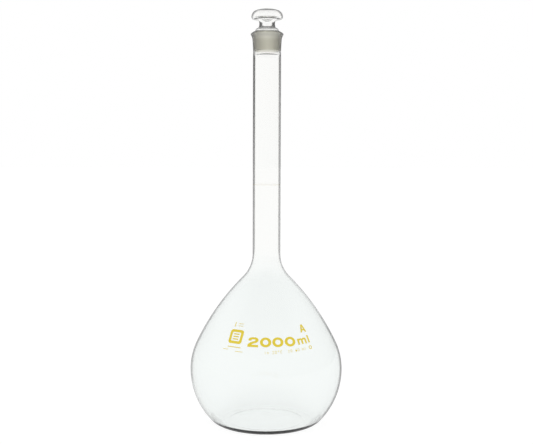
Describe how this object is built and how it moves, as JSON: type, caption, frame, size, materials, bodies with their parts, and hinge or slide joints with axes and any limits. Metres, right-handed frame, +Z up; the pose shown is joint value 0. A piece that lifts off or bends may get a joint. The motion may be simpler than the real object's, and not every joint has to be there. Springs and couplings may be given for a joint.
{
  "type": "volumetric flask",
  "caption": "Tall pear-shaped laboratory volumetric flask in clear glass with a long narrow neck, capacity ring, ground socket and a lift-out ground glass stopper.",
  "frame": {"origin": "centre of the base, on the surface the flask stands on", "axes": "+Z up along the flask's axis of revolution; -Y is the printed front; +X to the right seen from the front"},
  "size_m": [0.159, 0.159, 0.4308],
  "materials": {
    "clear_glass": "clear polished borosilicate glass",
    "joint_glass": "glass with a finely ground, frosted cone inside",
    "stopper_glass": "clear lamp-blown glass, hollow and sealed, the plug finely ground",
    "amber_enamel": "fired vitreous enamel, satin"
  },
  "bodies": {
    "flask": {"bulb": "clear_glass", "neck_tube": "clear_glass", "joint_socket": "joint_glass", "graduation_ring": "amber_enamel", "capacity_print": "amber_enamel", "class_print": "amber_enamel", "calibration_print": "amber_enamel", "mark_print": "amber_enamel"},
    "stopper": {"stopper": "stopper_glass"}
  },
  "joints": [
    {"name": "stopper_lift", "type": "slide", "parent": "flask", "child": "stopper", "axis": [0, 0, 1], "range_m": [0, 0.06]}
  ]
}
